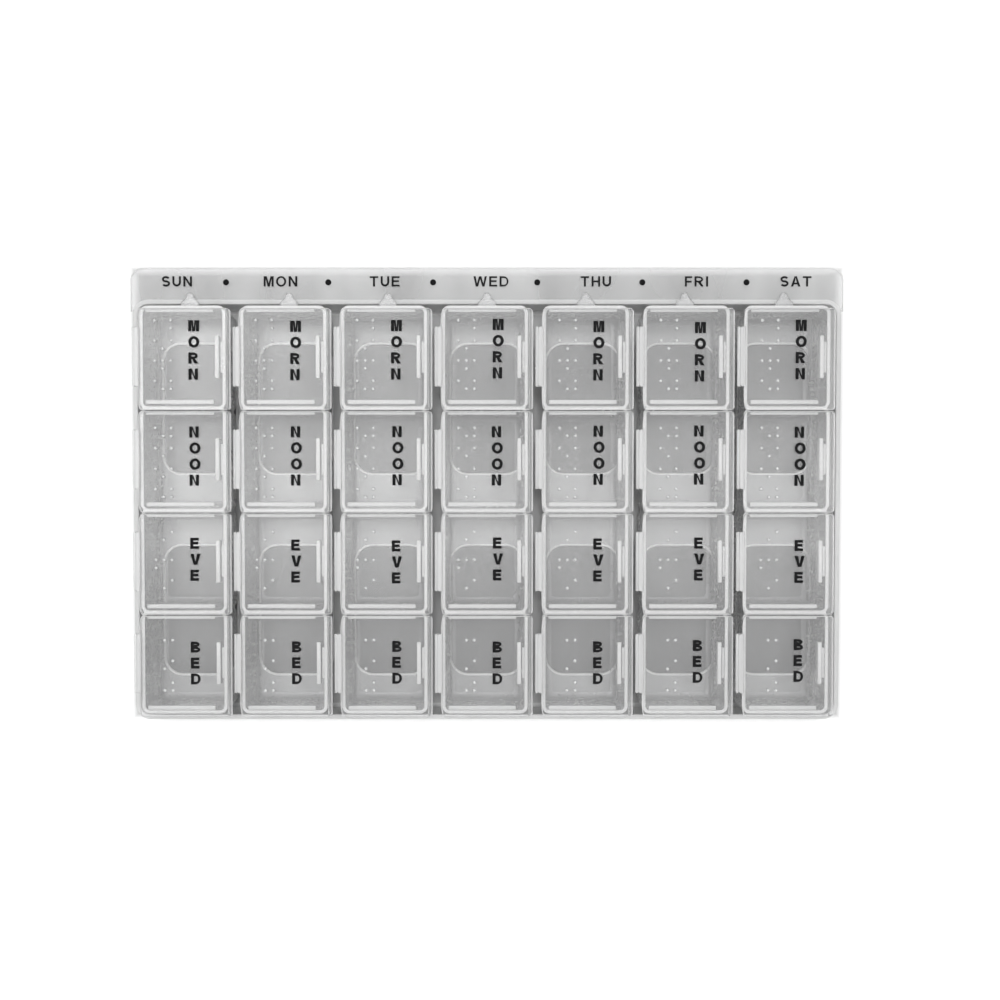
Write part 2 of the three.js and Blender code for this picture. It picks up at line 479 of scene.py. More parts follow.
@dataclass(frozen=True)
class StudioFloor:
    """A matte pale sweep, with painted shadow: a dark, soft-edged patch of colour under the
    organizer's footprint that stands in for the shade beneath it.
    """

    name: str = "studio_floor"
    pale: float = 0.9
    # painted shadow: the floor's colour inside the dark patch under the organizer
    under: float = 0.13
    # half sizes, middle and soft edge of the painted shadow patch, in metres
    half_x: float = 0.1143
    half_y: float = 0.0722
    middle_y: float = 0.0003
    blur: float = 0.0018

    def material(self) -> bpy.types.Material:
        """Builds the floor: pale, with painted shadow that makes it dark inside a soft-edged
        rectangle round the origin.
        """
        n = Nodes(self.name)
        place = n.add("TexCoord").outputs["Object"]
        parts = n.add("SeparateXYZ", Vector=place).outputs
        x = n.sum(n.sum(parts[0], 0.0, "ABSOLUTE"), -self.half_x)
        y = n.sum(n.sum(n.sum(parts[1], -self.middle_y), 0.0, "ABSOLUTE"), -self.half_y)
        away = n.sum(x, y, "MAXIMUM")
        # 0 inside the painted shadow patch, 1 outside it
        outside_painted_shadow = n.add("MapRange", Value=away, i1=-self.blur, i2=self.blur).outputs[0]
        grain = n.add("TexNoise", Vector=place, Scale=300.0).outputs["Fac"]
        pale = n.add("MapRange", Value=grain, i3=self.pale - 0.01, i4=self.pale + 0.01).outputs[0]
        # painted shadow: dark inside the patch, pale outside it
        level = n.add("MapRange", Value=outside_painted_shadow, i3=self.under, i4=pale).outputs[0]
        shader = n.add("BsdfPrincipled", **{"Base Color": level, "Roughness": 0.85})
        return n.shown(shader)


# ---------------------------------------------------------------- making pieces


def piece(name: str, shell: Shell, finish: bpy.types.Material) -> bpy.types.Object:
    """Puts a shell in the scene as a smooth-shaded mesh in metres.

    Args:
        name: Name of the piece.
        shell: Its surface in millimetres.
        finish: Its material.

    Returns:
        The object, at the origin.
    """
    mesh = bpy.data.meshes.new(name)
    mesh.from_pydata((shell.points * METRE).tolist(), [], shell.faces)
    haze = mesh.attributes.new("haze", "FLOAT", "POINT")
    haze.data.foreach_set("value", shell.haze.astype(np.float32))
    mesh.polygons.foreach_set("use_smooth", np.ones(len(mesh.polygons), bool))
    mesh.materials.append(finish)
    mesh.update()
    made = bpy.data.objects.new(name, mesh)
    bpy.context.scene.collection.objects.link(made)
    LOG.info("%s: %d points, %d faces", name, len(shell.points), len(shell.faces))
    return made


@dataclass
class Lettering:
    """Plain sans-serif capitals, cut as thin plates of ink. Outlines are in cap heights."""

    height: float
    stem: float  # width of an upright stroke
    film: float = 0.02
    made: dict[str, Shell] = field(default_factory=dict)

    @property
    def bar(self) -> float:
        """Thickness of a level stroke, a little less than an upright one."""
        return self.stem * 0.86

    def stroked(self, path: Loop) -> Loop:
        """A stroke's outline: the path moved half a stem to its right, then back on its left."""
        along = np.gradient(path, axis=0)
        side = np.stack([along[:, 1], -along[:, 0]], axis=1)
        side *= self.stem / 2 / np.linalg.norm(side, axis=1, keepdims=True)
        return np.concatenate([path + side, (path - side)[::-1]])

    def bowl(self, left: float, right: float, low: float, high: float, inset: float = 0.0) -> Loop:
        """A shape that is straight on the left and round on the right, drawn in by an inset."""
        reach = min(0.5, (right - left) * 0.62, (high - low) * 0.62 + 0.1)
        turn = arc(0, 0, 1, -90, 90, 12) * [reach - inset, (high - low) / 2 - inset]
        turn += [right - reach, (low + high) / 2]
        return np.concatenate([[[left, low + inset]], turn, [[left, high - inset]]])

    def loops(self, letter: str) -> list[Loop]:
        """The outline of a letter and of the holes in it.

        Args:
            letter: One capital that the organizer's words use.

        Returns:
            The outline first, then any holes.
        """
        w, b = self.stem, self.bar
        if letter == "I":
            return [np.array([(0, 0), (w, 0), (w, 1), (0, 1)])]
        if letter in "EF":
            a = 0.78 if letter == "E" else 0.72
            ends = [(0, 0), (a, 0), (a, b), (w, b)] if letter == "E" else [(0, 0), (w, 0)]
            middle = 0.52 if letter == "E" else 0.47
            ends += [(w, middle - b / 2), (a - 0.06, middle - b / 2), (a - 0.06, middle + b / 2)]
            ends += [(w, middle + b / 2), (w, 1 - b), (a - 0.01, 1 - b), (a - 0.01, 1), (0, 1)]
            return [np.array(ends)]
        if letter == "H":
            a, low, high = 0.84, 0.5 - b / 2, 0.5 + b / 2
            left = [(0, 0), (w, 0), (w, low), (a - w, low), (a - w, 0), (a, 0)]
            right = [(a, 1), (a - w, 1), (a - w, high), (w, high), (w, 1), (0, 1)]
            return [np.array(left + right)]
        if letter == "T":
            a, near, far = 0.84, 0.42 - w / 2, 0.42 + w / 2
            post = [(near, 0), (far, 0), (far, 1 - b)]
            top = [(a, 1 - b), (a, 1), (0, 1), (0, 1 - b), (near, 1 - b)]
            return [np.array(post + top)]
        if letter == "N":
            a = 0.85
            left = [(0, 0), (w, 0), (w, 0.68), (a - w * 1.04, 0), (a, 0), (a, 1)]
            return [np.array(left + [(a - w, 1), (a - w, 0.32), (w * 1.04, 1), (0, 1)])]
        if letter == "M":
            a, c = 0.98, 0.49
            low = [(0, 0), (w, 0), (w, 0.74), (c - w / 2, 0)]
            low += [(c + w / 2, 0), (a - w, 0.74), (a - w, 0), (a, 0)]
            high = [(a, 1), (a - w * 1.5, 1), (c, 0.34), (w * 1.5, 1), (0, 1)]
            return [np.array(low + high)]
        if letter == "V":
            a, c, k = 0.93, 0.465, w * 1.12
            outer = [(c - k / 2, 0), (c + k / 2, 0), (a, 1), (a - k, 1), (c, 0.3)]
            return [np.array(outer + [(k, 1), (0, 1)])]
        if letter == "W":
            a, c, k, q = 1.3, 0.65, w * 1.08, 0.33
            left = [(q - k / 2, 0), (q + k / 2, 0), (c, 0.72), (a - q - k / 2, 0), (a - q + k / 2, 0)]
            right = [(a, 1), (a - k, 1), (a - q, 0.3), (c + k / 2, 1), (c - k / 2, 1), (q, 0.3)]
            return [np.array(left + right + [(k, 1), (0, 1)])]
        if letter == "A":
            a, c, k, low = 0.93, 0.465, w * 1.12, 0.2
            lean = c - k / 2
            high = low + b
            outer = [(0, 0), (k, 0), (k + lean * low, low), (a - k - lean * low, low)]
            outer += [(a - k, 0), (a, 0), (c + k / 2, 1), (c - k / 2, 1)]
            hole = [(k + lean * high, high), (c, 0.86), (a - k - lean * high, high)]
            return [np.array(outer), np.array(hole)]
        if letter == "O":
            ring = arc(0, 0, 1, 0, 360, 28)[:-1]
            middle = [0.5, 0.5]
            return [ring * [0.5, 0.515] + middle, ring * [0.5 - w, 0.515 - b] + middle]
        if letter == "D":
            return [self.bowl(0, 0.88, 0, 1), self.bowl(w, 0.88, 0, 1, b)]
        if letter == "B":
            low, high = self.bowl(0, 0.86, 0, 0.54)[:-1], self.bowl(0, 0.81, 0.5, 1)[1:]
            outer = np.concatenate([low[low[:, 1] < 0.515], high[high[:, 1] > 0.525]])
            return [outer, self.bowl(w, 0.86, 0, 0.565, b), self.bowl(w, 0.81, 0.475, 1, b)]
        if letter == "R":
            bend = self.bowl(0, 0.84, 0.4, 1)[1:]
            bend = bend[bend[:, 1] > 0.44]
            leg = [(0, 0), (w, 0), (w, 0.4), (0.34, 0.4)]
            leg += [(0.9 - w * 1.25, 0), (0.9, 0), (0.62, 0.42)]
            return [np.concatenate([leg, bend]), self.bowl(w, 0.84, 0.4, 1, b)]
        if letter == "S":
            a = 0.8
            rx, ry = (a - w) / 2, (1 - b) / 4
            over = arc(0, 0, 1, 25, 262, 16) * [rx, ry] + [a / 2, 0.5 + ry]
            under = arc(0, 0, 1, 82, -155, 16) * [rx, ry] + [a / 2, 0.5 - ry]
            return [self.stroked(np.concatenate([over, under]))]
        a, r = 0.84, (0.84 - w) / 2
        turn = arc(0.42, r + w / 2, r, 180, 360, 16)
        return [self.stroked(np.concatenate([[[w / 2, 1.0]], turn, [[a - w / 2, 1.0]]]))[::-1]]

    def glyph(self, letter: str) -> Shell:
        """A letter's plate, its foot on y = 0 and its middle on x = 0: two level faces between
        the letter's loops, and a wall up each loop.

        Args:
            letter: One capital.

        Returns:
            The closed plate, from z = 0 to the film's thickness.
        """
        if letter not in self.made:
            loops = [loop * self.height for loop in self.loops(letter)]
            parts = []
            for place, loop in enumerate(loops):
                after = np.roll(loop, -1, axis=0)
                area = (loop[:, 0] * after[:, 1] - loop[:, 1] * after[:, 0]).sum()
                loops[place] = loop if (area > 0) == (place == 0) else loop[::-1]
                parts.append(loft([loops[place]] * 2, [0.0, self.film], [0.0, 0.0], False, False))
            for z in (0.0, self.film):
                parts.append(flat_field(loops[0], loops[1:], z, 0.0, z > 0))
            wide = np.ptp(loops[0][:, 0])
            middle = -wide / 2 - loops[0][:, 0].min()
            self.made[letter] = Shell.joined(parts).welded().moved(middle, 0)
        return self.made[letter]

    def row(self, word: str, spacing: float) -> Shell:
        """A word set left to right and centred, with equal gaps between its letters."""
        shells = [self.glyph(letter) for letter in word]
        widths = [np.ptp(s.points[:, 0]) for s in shells]
        start = -(sum(widths) + spacing * (len(word) - 1)) / 2
        placed = []
        for shell, width in zip(shells, widths):
            placed.append(shell.moved(start + width / 2, -self.height / 2))
            start += width + spacing
        return Shell.joined(placed)

    def column(self, word: str, pitch: float) -> Shell:
        """A word stacked downwards, its letters flush left with the widest."""
        shells = [self.glyph(letter) for letter in word]
        top = (len(word) - 1) / 2 * pitch
        placed = [
            s.moved(
                (np.ptp(s.points[:, 0]) - self.height) / 2, top - k * pitch - self.height / 2
            )
            for k, s in enumerate(shells)
        ]
        return Shell.joined(placed)


# ---------------------------------------------------------------- the tray


@dataclass
class Tray:
    """The shallow tray: windowed floor, drafted walls and the lettered header behind them."""

    half_width: float = 111.4
    front: float = -71.2
    back: float = 61.3
    floor: float = 1.4
    rim: float = 12.6
    wall: float = 1.6
    draft: float = 0.4
    corner: float = 4.8
    column: float = 31.0
    strip_y: float = -4.9
    window: tuple[float, float, float] = (23.1, 41.5, 5.5)
    window_spacing: float = 65.2
    header_half: float = 112.0
    header_back: float = 71.2
    header_thickness: float = 1.6
    floor_haze: float = 0.15
    names_x: tuple[float, ...] = (-97.3, -64.8, -32.1, 1.3, 34.2, 65.8, 97.0)
    dots_x: tuple[float, ...] = (-81.9, -49.8, -16.9, 15.8, 48.8, 81.5)
    names_y: float = 66.9
    dots_y: float = 66.6

    def loop(self, inset: float, radius: float) -> Loop:
        """The walls' outline at the rim, drawn in by an inset."""
        return rounded_loop(
            -self.half_width + inset,
            self.front + inset,
            self.half_width - inset,
            self.back - inset,
            radius,
        )

    def walls(self) -> tuple[Shell, Loop, Loop]:
        """Carries one profile round the tray: foot, outer face, rim, inner face, floor fillet.

        Returns:
            The skin, and the loops where it meets the underside and the floor.
        """
        foot, top, root = 1.0, 0.35, 1.3
        d, w = self.draft, self.wall
        profile: list[tuple[float, float, float, float]] = []

        def add(rows: np.ndarray, radius: float, haze: float) -> None:
            """Adds rows of inset and height to the profile."""
            profile.extend((*map(float, row), radius, haze) for row in rows)

        add([[d + foot + 0.1, 0.0]], self.corner, self.floor_haze)
        add(arc(d + foot, foot, foot, 270, 180, 4), self.corner, 0.4)
        add([[d, foot + 0.15], [0.05, self.rim - top - 1.2]], self.corner, 0.35)
        add([[0.0, self.rim - top - 0.1]], self.corner, 0.4)
        add(arc(top, self.rim - top, top, 180, 90, 3), self.corner, 0.4)
        add(arc(w - top, self.rim - top, top, 90, 0, 3), self.corner - w, 0.4)
        add([[w, self.rim - top - 0.1]], self.corner - w, 0.4)
        low_wall = [[w + 0.05, self.rim - top - 1.2], [w + d, self.floor + root + 0.15]]
        add(low_wall, self.corner - w, 0.45)
        add(arc(w + d + root, self.floor + root, root, 180, 270, 5), self.corner - w, 0.45)
        add([[w + d + root + 0.1, self.floor]], self.corner - w, self.floor_haze)
        loops = [self.loop(inset, radius) for inset, _, radius, _ in profile]
        skin = loft(
            loops, [p[1] for p in profile], [p[3] for p in profile], False, False
        )
        return skin, loops[0], loops[-1]

    def windows(self) -> tuple[Shell, list[Loop], list[Loop]]:
        """The fourteen openings: a rounded edge carried round each from the floor to below.

        Returns:
            The skins, the loops at the floor, and the loops at the underside.
        """
        wide, long, corner = self.window
        edge = 0.6
        over = arc(-edge, self.floor - edge, edge, 90, 0, 3)
        under = arc(-edge, edge, edge, 0, -90, 3)
        rows = np.concatenate([[[-edge - 0.1, self.floor]], over, under, [[-edge - 0.1, 0.0]]])
        skins, tops, bottoms = [], [], []
        for day in Day:
            for side in (-1, 1):
                x = (day.value - 3) * self.column
                y = self.strip_y + side * self.window_spacing / 2
                loops = [
                    rounded_loop(
                        x - wide / 2 + i,
                        y - long / 2 + i,
                        x + wide / 2 - i,
                        y + long / 2 - i,
                        corner - i,
                    )
                    for i in rows[:, 0]
                ]
                haze = [self.floor_haze] + [1.0] * (len(rows) - 2) + [self.floor_haze]
                skins.append(loft(loops, rows[:, 1], haze, False, False))
                tops.append(loops[0])
                bottoms.append(loops[-1])
        return Shell.joined(skins), tops, bottoms

    def header(self) -> Shell:
        """The flat flange behind the walls, its front edge let into them."""
        into = 0.5
        cx, cy = self.half_width - self.corner, self.back - self.corner
        r = self.corner - into
        h, b, q = self.header_half, self.header_back, 4.0
        outline = np.concatenate(
            [
                [[h, cy + 1.0]],
                arc(h - q, b - q, q, 0, 90, 8),
                arc(-h + q, b - q, q, 90, 180, 8),
                [[-h, cy + 1.0]],
                arc(-cx, cy, r, 170, 90, 6),
                arc(cx, cy, r, 90, 10, 6),
            ]
        )
        rows = edge_profile(0.3, self.rim - self.header_thickness, self.rim - 0.04)
        n = inward(outline)
        loops = [outline + n * i for i in rows[:, 0]]
        haze = [0.0] + [0.4] * (len(rows) - 2) + [0.0]
        return loft(loops, rows[:, 1], haze)

    def names(self) -> Shell:
        """The day names and the dots between them, on the header."""
        letters = Lettering(3.2, 0.2)
        y, z = self.names_y, self.rim - 0.04
        ring = arc(0, 0, 0.95, 0, 360, 20)[:-1]
        dot = loft([ring, ring], [0.0, letters.film], [0.0, 0.0])
        names = [letters.row(day.name, 0.75).moved(self.names_x[day.value], y, z) for day in Day]
        return Shell.joined(names + [dot.moved(x, self.dots_y, z) for x in self.dots_x])

    def build(self, plastic: bpy.types.Material, ink: bpy.types.Material) -> None:
        """Builds the tray and its print.

        Args:
            plastic: The tray's finish.
            ink: The print's finish.
        """
        skin, under, over = self.walls()
        edges, tops, bottoms = self.windows()
        shell = Shell.joined(
            [
                skin,
                edges,
                flat_field(over, tops, self.floor, self.floor_haze, True),
                flat_field(under, bottoms, 0.0, self.floor_haze, False),
            ]
        ).welded()
        body = piece("tray_moulding", Shell.joined([shell, self.header()]), plastic)
        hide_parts("tray")
        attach(body, "tray")
        print_piece = piece("header_print", self.names(), ink)
        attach(print_piece, "tray")


# ---------------------------------------------------------------- a day strip


@dataclass
class DayStrip:
    """Four cups in a row, with a waist between cups, about the middle of its column."""

    left: float = -13.9
    right: float = 12.7
    pitch: float = 31.5
    bottom: float = 1.7
    rim: float = 21.1
    wall: float = 1.1
    divider: float = 1.2
    floor: float = 1.2
    draft: float = 0.6
    cup_draft: float = 0.9
    corner: float = 2.4
    waist_depth: float = 0.8
    waist_reach: float = 1.7
    hinge_x: float = -15.2
    hinge_half: float = 9.2

    @property
    def half_length(self) -> float:
        """Half the strip's length."""
        return 2 * self.pitch

    def cup_y(self, hour: Hour) -> float:
        """The middle of a cup."""
        return (1.5 - hour.value) * self.pitch

    def outline(self) -> Loop:
        """The strip's plan: a rounded rectangle whose long sides dip by half a cosine wave at
        each divider."""
        h, c = self.half_length, self.corner
        dips = np.array([-self.pitch, 0.0, self.pitch])
        across = np.linspace(-1, 1, 11) * self.waist_reach
        y = np.sort(np.concatenate([(dips[:, None] + across).ravel(), dips[:-1] + self.pitch / 2]))
        away = np.abs(y[:, None] - dips).min(axis=1) / self.waist_reach
        dip = self.waist_depth * 0.5 * (1 + np.cos(np.pi * np.clip(away, 0, 1)))
        up = np.stack([self.right - dip, y], axis=1)
        down = np.stack([self.left + dip, y], axis=1)[::-1]
        return np.concatenate(
            [
                arc(self.right - c, -h + c, c, -90, 0, 7),
                up,
                arc(self.right - c, h - c, c, 0, 90, 7),
                arc(self.left + c, h - c, c, 90, 180, 7),
                down,
                arc(self.left + c, -h + c, c, 180, 270, 7),
            ]
        )

    def cup_loop(self, hour: Hour, inset: float) -> Loop:
        """A cup's outline at the rim, drawn in by an inset."""
        front = self.wall if hour is Hour.BED else self.divider / 2
        back = self.wall if hour is Hour.MORN else self.divider / 2
        y = self.cup_y(hour)
        return rounded_loop(
            self.left + self.wall + inset,
            y - self.pitch / 2 + front + inset,
            self.right - self.wall - inset,
            y + self.pitch / 2 - back - inset,
            1.3,
            5,
        )

    def body(self) -> Shell:
        """The row of cups: an outer profile up the outline, the rim, and a profile down into
        each cup."""
        foot, top, root, d = 1.2, 0.28, 1.7, self.draft
        outer = np.concatenate(
            [
                [[d + foot + 0.1, self.bottom]],
                arc(d + foot, self.bottom + foot, foot, 270, 180, 4),
                [[d, self.bottom + foot + 0.15], [0.05, self.rim - 1.6]],
                [[0.0, self.rim - top - 0.1]],
                arc(top, self.rim - top, top, 180, 90, 3),
                [[top + 0.05, self.rim]],
            ]
        )
        outer_haze = [0.1] + [0.45] * 5 + [0.35, 0.4, 0.6] + [1.0] * 5
        outline = self.outline()
        n = inward(outline)
        loops = [outline + n * i for i in outer[:, 0]]
        skins = [loft(loops, outer[:, 1], outer_haze, True, False)]
        cd, deck = self.cup_draft, self.bottom + self.floor
        inner = np.concatenate(
            [
                [[-top - 0.05, self.rim]],
                arc(-top, self.rim - top, top, 90, 0, 3),
                [[0.0, self.rim - top - 0.1], [0.05, self.rim - 1.6]],
                [[cd, deck + root + 0.15]],
                arc(cd + root, deck + root, root, 180, 270, 6),
                [[cd + root + 0.1, deck]],
            ]
        )
        inner_haze = [1.0] * 5 + [0.6, 0.45, 0.35] + [0.3] * 7 + [0.0]
        tops = []
        for hour in Hour:
            cups = [self.cup_loop(hour, i) for i in inner[:, 0]]
            skins.append(loft(cups, inner[:, 1], inner_haze, False, True))
            tops.append(cups[0])
        skins.append(flat_field(loops[-1], tops, self.rim, 0.9, True))
        return Shell.joined(skins).welded()

    def lift_tab(self) -> Shell:
        """The tongue that lies over the tray's rim, its sides drawn in by a smooth step to a
        round tip."""
        tip, nose_radius = self.half_length + 5.1, 1.15
        y = np.linspace(self.half_length - 0.6, tip - nose_radius, 12)
        flare = nose_radius + 1.65 * (1 - smooth_step(y, self.half_length + 1.7, tip - nose_radius))
        side = np.stack([flare, y], axis=1)
        nose = arc(0, tip - nose_radius, nose_radius, 0, 180, 10)[1:-1]
        outline = np.concatenate([side, nose, (side * [-1, 1])[::-1]])
        rows = edge_profile(0.3, 12.9, 14.1)
        n = inward(outline)
        haze = [0.3] * len(rows)
        return loft([outline + n * i for i in rows[:, 0]], rows[:, 1], haze)

    def nibs(self) -> list[Shell]:
        """The two upright V ribs on the front end."""
        shells = []
        front = -self.half_length
        for x in (-7.1, 7.1):
            base = [[1.0, 0.55], [-1.0, 0.55]]
            nose = [[-0.85, -0.1], [-0.3, -0.9], [0.0, -1.0], [0.3, -0.9], [0.85, -0.1]]
            section = np.array(base + nose) + [x, front]
            middle = section.mean(axis=0)
            z = np.array([3.0, 3.3, 13.6, 14.2, 14.5])
            share = np.array([0.7, 1.0, 1.0, 0.85, 0.6])
            loops = [middle + (section - middle) * s for s in share]
            shells.append(loft(loops, z, [0.6] * len(z)))
        return shells

    def fittings(self) -> list[Shell]:
        """The strip's half of each hinge and the bead that each catch snaps past."""
        shells = []
        for hour in Hour:
            y = self.cup_y(hour)
            shells.append(
                rounded_bar(
                    (self.hinge_x - 0.25, y - self.hinge_half, 20.15),
                    (self.left + 0.05, y + self.hinge_half, 20.98),
                    0.2,
                    0.7,
                )
            )
            shells.append(
                rounded_bar(
                    (10.85, y - 4.8, 19.1), (self.right - self.wall + 0.12, y + 4.8, 20.5), 0.3, 0.95
                )
            )
        return shells

    def build(self, day: Day, x: float, y: float, plastic: bpy.types.Material) -> None:
        """Builds one day's strip.

        Args:
            day: Whose strip it is.
            x: Middle of its column.
            y: Middle of its length.
            plastic: Its finish.
        """
        name = f"strip_{day.name.lower()}"
        shell = Shell.joined([self.body(), self.lift_tab(), *self.nibs(), *self.fittings()])
        made = piece(f"{name}_moulding", shell.moved(x, y), plastic)
        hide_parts(name)
        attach(made, name)


# ---------------------------------------------------------------- a lid


@dataclass
class CupLid:
    """One cup's lid, about the middle of its cup: plate, thumb lip, ribs, catch and dots."""

    left: float = -14.2
    right: float = 14.2
    half_length: float = 15.62
    forward: float = 0.8  # the plate reaches further over the front of its cup
    bottom: float = 21.4
    top: float = 22.5
    drop: float = 1.2
    shoulder_depth: float = 1.1
    shoulder_length: float = 5.0
    corner: float = 1.1
    hinge_x: float = -15.2
    hinge_z: float = 21.5
    hinge_half: float = 9.2
    letter_x: float = 3.4
    dot_columns: tuple[float, float, float] = (-8.75, -6.3, -3.85)
    dot_rows: float = 2.45

    print_middles: tuple[float, ...] = (1.9, 1.1, 0.5, 0.5)  # by cup, from the header down
    letters: Lettering = field(default_factory=lambda: Lettering(3.42, 0.285))

    CELLS: ClassVar[dict[str, str]] = {
        "M": "134", "O": "135", "R": "1235", "N": "1345",
        "E": "15", "V": "1236", "B": "12", "D": "145",
    }

    CELL_TOPS: ClassVar[dict[Hour, tuple[float, ...]]] = {
        Hour.MORN: (11.0, 4.8, -1.3, -7.5),
        Hour.NOON: (9.6, 3.4, -2.9, -9.1),
        Hour.EVE: (9.2, 0.6, -5.7),
        Hour.BED: (7.3, 0.9, -5.8),
    }

    def outline(self) -> Loop:
        """The plate's plan: lower edge left to right, then the upper edge back. Both halves
        have one point for each station, so a ladder of faces can close the plate."""
        h, left, right = self.half_length, self.left, self.right
        t = np.linspace(0, 1, 8)
        sx = left + self.shoulder_depth * t**2
        sy = h - self.shoulder_length * (1 - t) ** 2
        x = np.concatenate([[-9.0, 0.0, 9.0, 12.4], np.linspace(12.7, right - self.corner, 4)])
        bend = arc(right - self.corner, h - self.corner, self.corner, 90, 0, 6)
        upper = np.concatenate(
            [np.stack([sx, sy], axis=1), np.stack([x, np.full(len(x), h)], axis=1)[:-1], bend]
        )
        return np.concatenate([upper * [1, -1], upper[::-1]]) - [0.0, self.forward]

    def plate(self) -> Shell:
        """The plate and its lip: a rounded edge carried round the outline, then lowered past
        the cup's wall by a smooth step that the underside takes sooner than the top."""
        rows = edge_profile(0.28, self.bottom, self.top)
        outline = self.outline()
        n = inward(outline)
        loops = [outline + n * i for i in rows[:, 0]]
        share = (rows[:, 1] - self.bottom) / (self.top - self.bottom)
        heights = []
        for loop, z, s in zip(loops, rows[:, 1], share):
            start = 12.8 + 0.5 * s
            heights.append(z - self.drop * smooth_step(loop[:, 0], start, start + 0.35))
        haze = [0.05] + [0.6] * (len(rows) - 2) + [0.05]
        skin = loft(loops, np.array(heights), haze, False, False)
        length = len(outline)
        half = length // 2
        i = np.arange(half - 1)
        rungs = np.stack([i, i + 1, length - 2 - i, length - 1 - i], axis=1)
        last = (len(rows) - 1) * length
        faces = [tuple(f) for f in rungs[:, ::-1].tolist()]
        faces += [tuple(f) for f in (rungs + last).tolist()]
        near_lip = smooth_step(skin.points[:, 0], 12.7, 13.4) * 0.25
        return Shell(skin.points, skin.faces + faces, np.maximum(skin.haze, near_lip))

    def underside(self) -> list[Shell]:
        """The two ribs and the catch."""
        into = self.bottom + 0.04
        shells = []
        for side in (-1, 1):
            near, far = side * 14.5, side * (13.7 if side > 0 else 13.2)
            shells.append(
                rounded_bar(
                    (-11.9, min(near, far), self.bottom - 2.0), (9.0, max(near, far), into), 0.2, 0.75
                )
            )
        shells.append(
            rounded_bar((9.35, -6.55, self.bottom - 3.4), (10.6, 6.55, into), 0.25, 0.95)
        )
        return shells

    def hinge_tab(self) -> Shell:
        """The lid's half of the hinge, with slanted ends."""
        h, x = self.hinge_half, self.hinge_x
        near, slant, far = x - 0.1, x + 0.5, self.left + 0.5
        low = [[near, -h + 0.5], [slant, -h], [far, -h]]
        outline = np.array([[near, h - 0.5]] + low + [[far, h], [slant, h]])
        rows = edge_profile(0.15, self.bottom + 0.1, self.top - 0.12, 2)
        n = inward(outline)
        return loft([outline + n * i for i in rows[:, 0]], rows[:, 1], [0.6] * len(rows))

    def dots(self, hour: Hour) -> list[Shell]:
        """Braille, read down the lid with each cell turned a quarter clockwise.

        Args:
            hour: The cup whose name is spelt.

        Returns:
            One low dome for each dot.
        """
        radius, height = 0.56, 0.42
        tilt = np.radians(np.array([8.0, 32.0, 58.0]))
        ring = arc(0, 0, 1.0, 0, 360, 12)[:-1]
        loops = [ring * radius * 0.98] + [ring * radius * math.cos(a) for a in tilt]
        z = np.concatenate([[-0.05], height * np.sin(tilt)])
        dome = loft(loops, z, [0.6] * 4, True, False)
        apex = len(dome.points)
        sides = len(ring)
        last = apex - sides
        cap = [(last + k, last + (k + 1) % sides, apex) for k in range(sides)]
        dome = Shell(
            np.vstack([dome.points, [0, 0, height]]), dome.faces + cap, np.append(dome.haze, 0.9)
        )
        shells = []
        for letter, cell_top in zip(hour.name, self.CELL_TOPS[hour]):
            for number in self.CELLS[letter]:
                across = 2 - (int(number) - 1) % 3
                down = (int(number) - 1) // 3
                x = self.dot_columns[across]
                y = cell_top - down * self.dot_rows
                shells.append(dome.moved(x, y, self.top))
        return shells

    def film(self) -> Shell:
        """The living hinge: a thin sheet bent half round the hinge line."""
        inner, outer, squash = 0.32, 0.95, 0.53
        around = np.concatenate(
            [arc(0, 0, outer, 265, 95, 12), arc(0, 0, inner, 95, 265, 8)]
        )[::-1] * [1, squash]
        half, end = self.hinge_half, 0.35
        y = np.array([-half, -half + end, half - end, half])
        share = np.array([0.86, 1.0, 1.0, 0.86])
        points = np.concatenate(
            [
                np.stack(
                    [
                        self.hinge_x + around[:, 0] * s,
                        np.full(len(around), v),
                        self.hinge_z + around[:, 1] * s,
                    ],
                    axis=1,
                )
                for v, s in zip(y, share)
            ]
        )
        length = len(around)
        faces = ring_faces(len(y), length)
        faces.append(tuple(range(length - 1, -1, -1)))
        faces.append(tuple(range(3 * length, 4 * length)))
        return Shell(points, faces, np.full(len(points), 0.65))

    def build(
        self,
        day: Day,
        hour: Hour,
        place: tuple[float, float],
        slip: tuple[float, float],
        plastic: bpy.types.Material,
        ink: bpy.types.Material,
    ) -> None:
        """Builds one lid with its hinge film and its print.

        Args:
            day: Its column.
            hour: Its row.
            place: Middle of its cup.
            slip: How far the print sits off its place.
            plastic: The lid's finish.
            ink: The print's finish.
        """
        x, y = place
        word = hour.name
        body = f"lid_{day.name.lower()}_{word.lower()}"
        shell = Shell.joined(
            [self.plate(), *self.underside(), self.hinge_tab(), *self.dots(hour)]
        )
        lid = piece(f"{body}_moulding", shell.moved(x, y), plastic)
        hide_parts(body)
        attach(lid, body)
        film = piece(f"{body}_hinge", self.film().moved(x, y), plastic)
        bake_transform(film)
        middle = self.print_middles[hour.value]
        letters = self.letters.column(word, 4.92)
        print_piece = piece(
            f"{body}_print",
            letters.moved(x + self.letter_x + slip[0], y + middle + slip[1], self.top),
            ink,
        )
        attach(print_piece, body)


# ---------------------------------------------------------------- the studio


@dataclass(frozen=True)
class SoftBox:
    """An oblong lamp that faces the origin."""

    name: str
    place: tuple[float, float, float]  # metres
    size: tuple[float, float]  # width along X, and length, in metres
    power: float  # watts
    shines: bool = True  # whether reflections show it


